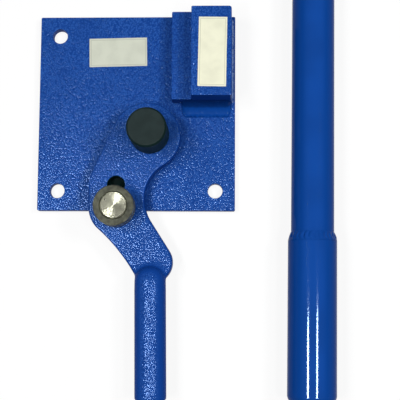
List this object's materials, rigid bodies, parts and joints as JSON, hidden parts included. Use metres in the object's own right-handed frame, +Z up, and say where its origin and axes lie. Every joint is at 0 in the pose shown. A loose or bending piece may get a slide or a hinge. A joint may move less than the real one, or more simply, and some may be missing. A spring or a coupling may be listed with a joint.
{
  "type": "manual rebar bender",
  "caption": "Bench rebar bender: square base with stop block and fixed mandrel, a swinging cast lever with a bending roller on a lift-out pin, and a loose tube handle for its stub.",
  "frame": {"origin": "centre of the base plate's underside", "axes": "+Z up off the bench, +Y towards the stop block's end and along the handle, +X towards the loose handle"},
  "size_m": [0.306, 1.0005, 0.0699],
  "materials": {
    "hammer_blue": "hammer-finish gloss enamel",
    "gloss_blue": "smooth gloss enamel",
    "black_oxide": "black oxide, satin",
    "bright_steel": "turned bright",
    "phosphate_steel": "phosphated, satin",
    "bronze": "machined",
    "label_film": "blank printed film"
  },
  "bodies": {
    "base": {"base_plate": "hammer_blue", "support_bar": "hammer_blue", "stop_block": "hammer_blue", "front_bead": "hammer_blue", "side_bead": "hammer_blue", "plate_label": "label_film", "block_label": "label_film", "mandrel": "black_oxide", "mandrel_dowel": "bright_steel", "mandrel_retainer": "bright_steel", "mandrel_screw": "black_oxide", "thrust_washer": "bronze"},
    "lever": {"lever_arm": "hammer_blue", "lever_bush": "bronze"},
    "pin": {"roller_pin": "bright_steel"},
    "roller": {"roller_ring": "phosphate_steel"},
    "handle": {"handle_tube": "gloss_blue", "handle_sleeve": "gloss_blue", "handle_bead": "gloss_blue"}
  },
  "joints": [
    {"name": "lever_swing", "type": "hinge", "parent": "base", "child": "lever", "pos_m": [0.015, -0.0256, 0.0197], "axis": [0, 0, -1], "range_deg": [-25, 115]},
    {"name": "pin_lift", "type": "slide", "parent": "lever", "child": "pin", "axis": [0, 0, 1], "range_m": [0, 0.03]},
    {"name": "roller_spin", "type": "hinge", "parent": "pin", "child": "roller", "pos_m": [-0.01762, -0.09904, 0.0424], "axis": [0, 0, 1], "continuous": true},
    {"name": "handle_lift", "type": "slide", "parent": "base", "child": "handle", "axis": [0, 0, 1], "range_m": [0, 0.3]}
  ]
}
